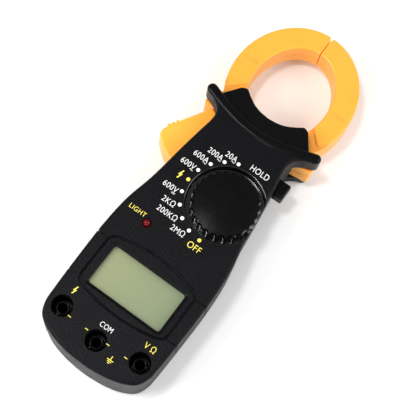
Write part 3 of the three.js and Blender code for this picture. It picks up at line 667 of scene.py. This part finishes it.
def rear_case():
    skin = slab("rear_case_skin", case_outline(-REAR_STEP), 0, SPLIT_Z - SEAM, 0.35, 2.2, 7, (24, 33))
    body = paint(skin, CASE_BLACK)
    cut(body, slab("room", inset(case_outline(-REAR_STEP, False), WALL), WALL, SPLIT_Z + 2))
    cut(body, block("slot", (-60, OPEN_TOP_Y, SLOT_LOW), (60, 80, 20)))
    guard = slab("rear_guard", inset(guard_outline(), 0.4), 0, SLOT_LOW, 0.3, 1.4)
    collar = slab("rear_collar", collar_outline(28.6), 0, SLOT_LOW, 0.3, 1.2)
    join(body, paint(guard, GUARD_BLACK), paint(collar, GUARD_BLACK))
    half, low, high = COVER
    boss = [(0, 1), (4, 1), (4, 6.6), (2.9, 6.6), (2.9, 13.8), (0, 13.8)]
    join(body,
         *[lathe("boss", at, boss, 32) for at in CASE_SCREWS],
         block("bay", (-12.9, -83.4, 1), (12.9, -30.8, 14.3)),
         block("door_ledge", (-half - 1.5, low - 1.5, 1), (half + 1.5, high + 1.5, 4.2)),
         rod("door_boss", COVER_SCREW, 2.8, 3, 9.4, 32),
         rod("pin_boss", PIVOT, 4.2, 1, 6, 32),
         rod("post", POST, 2.0, 1, 19.6, 32))
    cut(body,
        block("trigger_slot", (-60, TRIGGER_ROOM_Y, SLOT_LOW - 0.1), (-20.4, 60, 20)),
        hold_room(HOLD_Z - HOLD_ROOM[1], 20),
        rod("pin_bore", PIVOT, PIN_BORE, 2.6, 9, 32),
        block("bay_room", (-11.7, -82.2, -1), (11.7, -32, 13.4)),
        block("door_seat", (-half - GAP, low - GAP, -1), (half + GAP, high + GAP, 2.2), 0.9),
        rod("door_boss_room", COVER_SCREW, 1.25, 1, 8.6, 24),
        *[block("lug_room", (x - 2.6, -85.6, 1.9), (x + 2.6, -81.2, 4.5)) for x in COVER_LUG_X],
        *[lathe("head_room", at, rear_well(2.75, 4.6, 0.3, 0), 48) for at in CASE_SCREWS],
        *[rod("shank_room", at, 1.6, 4, 15, 24) for at in CASE_SCREWS])
    return finish_piece(body, "case", "black_plastic", "rear_case", angle=30)


def battery_door():
    half, low, high = COVER
    back = 0.15
    door = paint(slab("battery_door", rect(-half, low, half, high, 0.8), back, 1.9, 0, 0.3), CASE_BLACK)
    join(door, *[block("lug", (x - 2, low - 1.2, 1.2), (x + 2, low + 3.4, 3.2), 0.3) for x in COVER_LUG_X])
    ribs = [slab("rib", rect(-9, y, 9, y + 1.1, 0.5), -1, 0.62) for y in [-62 + 2.6 * n for n in range(6)]]
    arrow = rounded([(0, -70, 0.3), (3.4, -65.4, 0.3), (-3.4, -65.4, 0.3)])
    cut(door,
        lathe("head_room", COVER_SCREW, rear_well(2.5, 1.2, 0.3, back), 48),
        rod("shank_room", COVER_SCREW, 1.3, -1, 4, 24),
        *ribs,
        slab("arrow", arrow, -1, 0.5))
    return finish_piece(door, "battery_door", "black_plastic", "battery_cover")


rear_case()
battery_door()


# ---------------------------------------------------------------- jaws and trigger

RING_OUT = (67.3, 32.9, 37.7)   # outer edge of the ring: centre y, radius x, radius y
RING_IN = (65.7, 20.6, 27.5)    # inner edge
RING_MID = (66.5, 26.75, 32.6)  # middle line, where the core lies
TIP_GAP = 0.25                  # from the centre line to each tip
CORE_ROOM = (2.4, 3.7)          # half width and half height of the room for the core
COIL_ROOM = (4.7, 5.6)          # the same for the coil
COIL_Y = (43.4, 60.6)           # lower and upper end of the coil's room
TRIGGER_TOP = Vector((-26.6, 35.2))
TRIGGER_TIP = Vector((-37.4, 16.6))


def half_ring(side):
    """Outline of one jaw, a C of two ellipses that runs past the centre line, where it is cut off square."""
    steps = 60
    past = 96                   # degrees from the level direction to each end of the C
    points = []
    for (y0, rx, ry), turn in ((RING_OUT, 1), (RING_IN, -1)):
        for s in range(steps + 1):
            a = math.radians(past - 2 * past * s / steps) * turn
            points.append((rx * math.cos(a), y0 + ry * math.sin(a)))
    return on_side(side, points)


def foot_outline(side):
    """The widening at the lower end of a jaw."""
    return on_side(side, rounded([(12, 36, 0), (20, 34.6, 1), (27.2, 35.8, 0.8), (31.8, 36.2, 1.2),
                                  (31.9, 40.6, 2), (28.8, 46, 3), (20, 48, 0)]))


def link_outline(side, lug_x):
    """The bridge from the foot to the lug round the pin or the post."""
    return on_side(side, [(lug_x - 3.8, 31), (lug_x + 3.4, 32), (23, 40), (9.5, 40)])


def needle_outline(side):
    """Engraved centre mark: a slim tag that narrows towards the opening."""
    return on_side(side, rounded([(22.6, 69.05, 0.3), (29.3, 68.7, 0.7), (29.3, 70.3, 0.7),
                                  (22.6, 69.95, 0.3)]))


def step_outline(side):
    """Edge of the lower stretch of the jaw's face, which lies a little deeper."""
    return on_side(side, rounded([(5, 30, 0), (38, 30, 0), (38, 56.5, 0), (31.9, 55.6, 0),
                                  (27.0, 49.3, 2.2), (18.6, 58.2, 0), (5, 58.2, 0)]))


def ring_band(side, half_width, ends=None):
    """Band along the middle of the ring: all of it, run past the centre line, or between two heights."""
    y0, rx, ry = RING_MID
    steps = 44
    turns = [math.pi / 2 - math.pi * s / steps for s in range(steps + 1)]
    if ends:
        turns = [a for a in turns if ends[0] <= y0 + ry * math.sin(a) <= ends[1]]
    edges = []
    for grow in (half_width, -half_width):
        edge = [((rx + grow) * math.cos(a), y0 + (ry + grow) * math.sin(a)) for a in turns]
        edges.append(edge if ends else [(-1, edge[0][1]), *edge, (-1, edge[-1][1])])
    outer, inner = edges
    return on_side(side, outer + inner[::-1])


def tongue_room(lug):
    """Cutters of the room that the trigger's tongue fills."""
    low, high = JAW_MID - TONGUE - GAP, JAW_MID + TONGUE + GAP
    arm = [(-25, 21.7), (-17, 24.9), (-17, 35.1), (-25, 34.3)]
    return [slab("tongue_room", arm, low, high), rod("tongue_end", lug, 5.1, low, high, 32)]


def face_marks(side, z):
    """Cutters of the step and the engraved centre mark in the face of a front shell, which is at z. They
    paint these hollows with the darker amber, which is painted shade.
    """
    levels = [(0.1, -0.6), (0, -0.5), (-0.45, -0.06), (-0.7, 0.04), (-0.7, 2)]
    edge = step_outline(side)
    step = loft("step", [[(x, y, z + up) for x, y in inset(edge, d)] for d, up in levels])
    needle = sweep_loop("needle", needle_outline(side), z, groove_section(0.2, 0.22, 8))
    return [paint(step, GROOVE_PAINTED_SHADE), paint(needle, GROOVE_PAINTED_SHADE)]


def tip_cutters(side):
    """Cutters that square off the ring at the centre line and notch its outer edge there."""
    x0, x1 = sorted((-20 * side, TIP_GAP * side))
    top = RING_OUT[0] + RING_OUT[2]
    half = 1.5 + TIP_GAP
    notch = [(-half, top + 0.3), (0, top - 2.2), (half, top + 0.3)]
    # the square cut gives the tip faces the darker, glowing amber: painted shade and painted light
    return [paint(block("tip_cut", (x0, 0, 0), (x1, 120, 30)), TIP_FACE_PAINTED_SHADE_AND_GLOW), slab("tip_notch", notch, 0, 30)]


def jaw_shell(side, front):
    """One shell of a jaw: side 1 is the fixed jaw on the right, side -1 the moving one."""
    name = ("fixed" if side > 0 else "moving") + "_jaw_" + ("front" if front else "rear")
    body = "case" if side > 0 else "moving_jaw"
    lug, lug_r = (POST, 4.0) if side > 0 else (PIVOT, 4.8)
    z0, z1 = (JAW_MID + JAW_SEAM, JAW_HIGH) if front else (JAW_LOW, JAW_MID - JAW_SEAM)
    top, bottom = (1.0, 0.25) if front else (0.25, 1.0)
    ring = paint(slab(name + "_skin", half_ring(side), z0, z1, top, bottom, 7), ORANGE)
    join(ring,
         slab("foot", foot_outline(side), z0 + 0.01, z1 - 0.55, 0.5, 0.3),
         slab("link", link_outline(side, abs(lug[0])), z0 + 0.02, z1 - 0.6),
         rod("hub", lug, lug_r, z0, z1, 48))
    screw_room = [(0, 0), (2, 0), (2, 8.6), (1.3, 8.6), (1.3, 17.6), (0, 17.6)]
    tools = [rod("bore", lug, PIN_BORE, 0, 30, 32), lathe("screw_room", (28.0 * side, 40.8), screw_room, 32)]
    if side < 0:
        tools += tongue_room(lug)
    for (wide, tall), ends in ((CORE_ROOM, None), (COIL_ROOM, COIL_Y)):
        tools.append(slab("core_room", ring_band(side, wide, ends), JAW_MID - tall, JAW_MID + tall))
    if front:
        tools += face_marks(side, z1)
    cut(ring, *tools, *tip_cutters(side))
    return finish_piece(ring, body, "orange_plastic", name + "_shell")


def trigger_outline():
    """Thumb trigger: a long wedge."""
    return rounded([(-22.4, 34.2, 0), (*TRIGGER_TOP, 0), (*TRIGGER_TIP, 1.8), (-39.6, 11.4, 3.0),
                    (-38.9, 8.2, 2.4), (-33.0, 3.2, 6), (-27, 0.4, 1.2), (-23.8, 0.6, 0), (-22.4, 8, 0)])


def trigger():
    """The wedge outside, three grip ridges on it, and a tongue round the pivot between the jaw's shells."""
    # the trigger is painted with the glowing amber: painted light on its shaded side
    body = paint(slab("trigger_skin", trigger_outline(), JAW_LOW, JAW_HIGH, 1.1, 1.1, 6), TRIGGER_ORANGE_PAINTED_GLOW)
    low, high = JAW_MID - TONGUE, JAW_MID + TONGUE
    arm = [(-25, 22), (-17, 25.2), (-17, 34.8), (-25, 34)]
    along = (TRIGGER_TIP - TRIGGER_TOP).normalized()
    spots = [TRIGGER_TIP + along * (1.6 - 2.3 * n) for n in range(3)]
    join(body,
         slab("tongue", arm, low, high),
         rod("tongue_end", PIVOT, 4.8, low, high, 48),
         *[slab("ridge", circle(*at, 0.75, 24), JAW_LOW + 0.9, JAW_HIGH - 0.35, 0.3, 0.3) for at in spots])
    cut(body, rod("bore", PIVOT, PIN_BORE, 0, 30, 32))
    return finish_piece(body, "moving_jaw", "orange_plastic", "trigger")


for jaw_side in (-1, 1):
    for is_front in (True, False):
        jaw_shell(jaw_side, is_front)
trigger()


# ---------------------------------------------------------------- dial

FLUTES = 26
FLUTE_CIRCLE = 17.35            # the flutes' centres lie a little outside the rim
KNOB_RIM = 1.25                 # radius of the rounded rim
KNOB_DOME = 1.3                 # rise from the rim to the middle
CROWN_R = KNOB_R - KNOB_RIM
CROWN_Z = KNOB_TOP - KNOB_DOME
POINTER = (1.9, 6.4)            # start and end of the pointer line, measured inwards from the knob's edge


def knob_profile():
    """Flat back, straight side, rounded rim and a shallow dome."""
    back = WELL_FLOOR + GAP
    profile = [(0, back), (KNOB_R - 0.3, back), (KNOB_R, back + 0.3)]
    for s in range(9):
        a = math.pi / 2 * s / 8
        profile.append((CROWN_R + KNOB_RIM * math.cos(a), CROWN_Z - KNOB_RIM + KNOB_RIM * math.sin(a)))
    for s in range(1, 13):
        r = CROWN_R * (1 - s / 12)
        profile.append((r, dome_z(r)))
    return profile


def dome_z(r):
    return CROWN_Z + KNOB_DOME * (1 - (r / CROWN_R) ** 2)


def knob_flutes():
    """Cutters of the half-round flutes, which widen where they run out at the rim."""
    flare = CROWN_Z - 1.15
    profile = [(0, 20), (1.4, 20), (1.4, flare), (1.46, flare + 0.2), (1.9, flare + 0.75), (1.9, 36), (0, 36)]
    turns = [2 * math.pi * (n + 0.5) / FLUTES for n in range(FLUTES)]
    spots = [(DIAL[0] + FLUTE_CIRCLE * math.cos(a), DIAL[1] + FLUTE_CIRCLE * math.sin(a)) for a in turns]
    return [lathe("flute", at, profile, 28) for at in spots]


def dial_knob():
    """Domed knob with flutes round its rim, an engraved pointer line and a ring at the line's inner end."""
    knob = paint(lathe("dial_knob_skin", DIAL, knob_profile(), 156), KNOB_BLACK)
    x, y = DIAL
    low, high = (y - KNOB_R + reach for reach in POINTER)
    half = 0.22
    line = slab("pointer", rect(x - half, low, x + half, high, 0.2), KNOB_TOP - 1.6, KNOB_TOP + 1)
    eye_y = high + 1.5
    eye_ring = circle(x, eye_y, 1.15, 40)
    eye = sweep_loop("pointer_eye", eye_ring, dome_z(y - eye_y), groove_section(0.15, 0.3, 8))
    cut(knob, *[paint(t, EDGE_BLACK) for t in [*knob_flutes(), line, eye]])
    stem = [(0, 18.8), (2.2, 18.8), (2.2, 22), (4.9, 22), (4.9, 27), (0, 27)]
    join(knob, lathe("stem", DIAL, stem, 48))
    return finish_piece(knob, "dial", "knob_plastic", "dial_knob", angle=40)


dial_knob()


# ---------------------------------------------------------------- hold key, lamp and sockets

def hold_key():
    """Rounded key that slides into the right wall; built upright, then laid along X."""
    high, wide = 7.4, 8.8
    outline = rect(-high / 2, -wide / 2, high / 2, wide / 2, 1.4)
    key = paint(slab("hold_key_skin", outline, 19.3, 28.6, 0.9, 0, 6), GUARD_BLACK)
    join(key, slab("flange", rect(-4.6, -5.4, 4.6, 5.4, 0.8), 18.7, 19.7))
    key.data.transform(Matrix.Rotation(math.pi / 2, 4, "Y"))
    key.data.transform(Matrix.Translation(Vector((0, HOLD_Y, HOLD_Z)) * MM))
    return finish_piece(key, "hold_key", "black_plastic", "hold_button")


def lamp():
    """Small lamp: a flange inside the case, a round-topped bulb through the front and two legs."""
    x, y = LED
    bulb = 1.8
    profile = [(0, 23.4), (2.3, 23.4), (2.3, 24.4), (bulb, 24.4)]
    turns = [math.pi / 2 * s / 12 for s in range(13)]
    profile += [(bulb * math.cos(a), FRONT_Z + bulb * math.sin(a)) for a in turns]
    body = paint(lathe("lamp", LED, profile, 48), LED_RED)
    join(body, *[paint(rod("leg", (x + dx, y), 0.3, 16.7, 23.6, 16), STEEL) for dx in (-0.9, 0.9)])
    return finish_piece(body, "case", "led_red", "light_led")


def socket(name, at):
    """Brass sleeve in a black insulating collar."""
    sleeve = [(0, 5), (3, 5), (3, 16.7), (4.3, 16.7), (4.3, 17.6), (3, 17.6), (3, 23.7), (2.6, 24),
              (2.3, 24), (2.05, 23.7), (2.05, 6), (0, 6)]
    collar = [(2.3, 24.0), (2.3, 24.9), (2.5, 25.2), (3.0, 25.2), (3.2, 24.9), (3.2, 18), (3.05, 18),
              (3.05, 24.0)]
    sleeve = paint(lathe(name + "_sleeve", at, sleeve, 48), BRASS)
    collar = paint(lathe(name + "_collar", at, collar, 48), KNOB_BLACK)
    finish_piece(sleeve, "case", "brass", name)
    finish_piece(collar, "case", "black_plastic", angle=60)


hold_key()
lamp()
for socket_name, socket_at in JACKS.items():
    socket(socket_name, socket_at)


# ---------------------------------------------------------------- printing on the front

LABEL_HIGH = 2.9                # capital height
FONT_CAPITAL = 0.682            # capital height of the built-in font at size 1
SQUEEZE = 0.86                  # the lettering is narrower than the font
INK = 0.05                      # thickness of the print
DOT_CIRCLE = 21.6               # radius of the ring of range dots
DOT_START = 108.7               # direction of the first dot, in degrees
DOT_STEP = 18
OHM = "\u03a9"


def words(text, x, y, high=LABEL_HIGH, anchor=0.5, squeeze=SQUEEZE):
    """Thin printed words: anchor 0 puts their left end at x, 1 their right end, 0.5 their middle."""
    curve = bpy.data.curves.new("words", "FONT")
    curve.body = text
    curve.offset = -0.003
    curve.space_character = 1.07
    curve.extrude = 0.5
    holder = bpy.data.objects.new("words", curve)
    scene.collection.objects.link(holder)
    deps = bpy.context.evaluated_depsgraph_get()
    mesh = bpy.data.meshes.new_from_object(holder.evaluated_get(deps))
    bpy.data.objects.remove(holder)
    scale = high / FONT_CAPITAL
    left = min(v.co.x for v in mesh.vertices)
    wide = (max(v.co.x for v in mesh.vertices) - left) * scale * squeeze
    for v in mesh.vertices:
        v.co = Vector(((v.co.x - left) * scale * squeeze + x - anchor * wide,
                       v.co.y * scale + y - high / 2, v.co.z * INK + FRONT_Z)) * MM
    obj = bpy.data.objects.new("words", mesh)
    scene.collection.objects.link(obj)
    return obj


def mark(points, x, y):
    """Thin printed shape round (x, y)."""
    outline = [(px + x, py + y) for px, py in points]
    return slab("mark", outline, FRONT_Z - INK / 2, FRONT_Z + INK / 2)


def bar(x, y, wide, high):
    return mark(rect(-wide / 2, -high / 2, wide / 2, high / 2), x, y)


def bolt(x, y, scale=1.0):
    """Lightning bolt, the same when turned half round."""
    half = [(0.1, 2.5), (0.7, 2.3), (0.0, 0.4), (1.05, 0.6)]
    turned = [(-px, -py) for px, py in half]
    return mark([(px * scale, py * scale) for px, py in half + turned], x, y)


def wave(x, y):
    """Alternating-current sign: one period of a thin line."""
    half, tall, thick = 0.95, 0.24, 0.15
    line = [(half * (2 * s / 12 - 1), tall * math.sin(2 * math.pi * s / 12)) for s in range(13)]
    upper = [(px, py + thick) for px, py in reversed(line)]
    return [mark([(px, py - thick) for px, py in line] + upper, x, y - 1.9)]


def direct_sign(x, y):
    """Direct-current sign: a line over three dashes."""
    return [bar(x, y - 1.82, 1.9, 0.26)] + [bar(x + n * 0.68, y - 2.38, 0.42, 0.26) for n in (-1, 0, 1)]


def earth_sign(x, y):
    """Stem over three bars, each shorter than the one above."""
    bars = [bar(x, y - 0.75 * n, 3.3 - 1.1 * n, 0.36) for n in range(3)]
    return [bar(x, y + 1.1, 0.36, 1.9)] + bars


# Label of each dial position and the sign under it, from the top anticlockwise; None is a bolt
RANGES = [
    ("20A", wave), ("200A", wave), ("600A", wave), ("600V", wave), (None, None),
    ("600V", direct_sign), ("2K" + OHM, None), ("200K" + OHM, None), ("2M" + OHM, None), ("OFF", None),
]
CLOSE_LABEL = "2M" + OHM        # this one stands closer under its dot


def merge(name, parts, mat):
    """One mesh out of several separate ones, as a piece of the case."""
    bm = bmesh.new()
    for part in parts:
        bm.from_mesh(part.data)
        bpy.data.objects.remove(part)
    mesh = bpy.data.meshes.new(name)
    bm.to_mesh(mesh)
    bm.free()
    obj = bpy.data.objects.new(name, mesh)
    scene.collection.objects.link(obj)
    paint(obj, mat)
    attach(obj, "case")
    return obj


def range_labels(white, yellow):
    """Dot, label and sign of each dial position, added to the lists of white and of yellow marks."""
    for n, (text, sign) in enumerate(RANGES):
        angle = math.radians(DOT_START + DOT_STEP * n)
        x = DIAL[0] + DOT_CIRCLE * math.cos(angle)
        y = DIAL[1] + DOT_CIRCLE * math.sin(angle)
        ink = yellow if text in (None, "OFF") else white
        ink.append(mark(circle(0, 0, 0.95, 28), x, y))
        if text is None:
            ink.append(bolt(x - 4.5, y - 0.1))
        elif text == "OFF":
            ink.append(words(text, x, y - 4.1, 3.2))
        else:
            left, drop = (0.4, 1.4) if text == CLOSE_LABEL else (1.7, 0.6)
            right, middle = x - left, y + 1.9 * math.sin(angle) - drop
            ink.append(words(text, right, middle, anchor=1))
            if sign:
                ink += sign(right - 1.1, middle)


def printing():
    white, yellow = [], []
    range_labels(white, yellow)
    white.append(words("HOLD", 13.2, 17.6, 3.1, squeeze=0.8))
    white.append(words("COM", 0.1, -85.2, 2.5, squeeze=0.8))
    yellow.append(words("LIGHT", -21.9, -32.4, 2.3, squeeze=0.95))
    yellow.append(words("V", 19.6, -81.1))
    yellow.append(words(OHM, 23.2, -81.1))
    yellow.append(bolt(-21.7, -80.1, 0.85))
    yellow += [bar(x, -91.2, 1.7, 0.36) for x in (-16.2, -6.5, 5.4, 15.4)]
    yellow += earth_sign(10.4, -96.1)
    merge("print_white", white, PRINT_WHITE)
    merge("print_yellow", yellow, PRINT_YELLOW)


printing()


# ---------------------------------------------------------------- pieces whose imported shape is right

NODE_FINISH = [
    ("screw", STEEL), ("pivot_pin", STEEL), ("spring", STEEL), ("ball", STEEL), ("battery_bridge", STEEL),
    ("contact", STEEL), ("core", IRON), ("coil", COPPER), ("bobbin", NYLON), ("detent_ring", NYLON),
    ("holder", NYLON), ("rotor", NYLON), ("wiper", BRASS), ("main_board", BOARD), ("lcd_panel", DISPLAY),
    ("lcd_window", CLEAR), ("zebra", ZEBRA), ("chip", CHIP), ("switch", CHIP), ("battery_", CELL),
]


def finish_nodes():
    """Gives the remaining nodes their materials, and steel ones a fine bevel that catches the light."""
    for name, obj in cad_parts.items():
        if obj.hide_render:
            continue
        mat = next(m for key, m in NODE_FINISH if key in name)
        for slot in obj.material_slots:
            slot.material = mat
        if mat is STEEL:
            edge = obj.modifiers.new("edge", "BEVEL")
            edge.width = 0.08 * MM
            edge.segments = 2
            edge.limit_method = "ANGLE"
            edge.angle_limit = math.radians(40)


finish_nodes()


# ---------------------------------------------------------------- camera, light and floor

def camera_setup():
    data = bpy.data.cameras.new("camera")
    data.lens = 95.7
    data.sensor_width = 36
    cam = bpy.data.objects.new("camera", data)
    at = Vector((0.0653, -0.1633, 0.5015))
    back = Vector((0.134, -0.305, 0.943)).normalized()
    up = back.cross(Vector((0.809, 0.583, 0.074))).normalized()
    right = up.cross(back).normalized()
    cam.matrix_world = Matrix.Translation(at) @ Matrix((right, up, back)).transposed().to_4x4()
    scene.collection.objects.link(cam)
    scene.camera = cam


def area_light(name, at, size, power):
    """Round light aimed at the middle of the object."""
    data = bpy.data.lights.new(name, "AREA")
    data.shape = "DISK"
    data.size = size
    data.energy = power
    light = bpy.data.objects.new(name, data)
    light.location = at
    direction = Vector((0, 0, 0.015)) - Vector(at)
    light.rotation_euler = direction.to_track_quat("-Z", "Y").to_euler()
    scene.collection.objects.link(light)


def studio():
    bpy.ops.mesh.primitive_plane_add(size=6, location=(0, 0, -0.0001))
    floor = bpy.context.object
    floor.name = "floor"
    mat, _, shader = new_material("floor_white")
    shader.inputs["Base Color"].default_value = (0.93, 0.93, 0.93, 1)
    shader.inputs["Roughness"].default_value = 0.9
    floor.data.materials.append(mat)
    world = bpy.data.worlds.new("studio")
    world.use_nodes = True
    sky = world.node_tree.nodes["Background"]
    sky.inputs["Color"].default_value = (1, 1, 1, 1)
    sky.inputs["Strength"].default_value = 0.42
    scene.world = world
    scene.view_settings.view_transform = "Standard"
    area_light("key", (-0.5, -0.45, 0.62), 0.5, 5.2)
    area_light("fill", (0.6, 0.3, 0.55), 0.6, 3.8)
    area_light("low", (0.05, -0.85, 0.32), 0.22, 1.5)
    area_light("sheen", (-0.2, -0.14, 0.9), 0.14, 2.6)
    area_light("side", (0.75, -0.35, 0.38), 0.2, 1.1)


camera_setup()
studio()
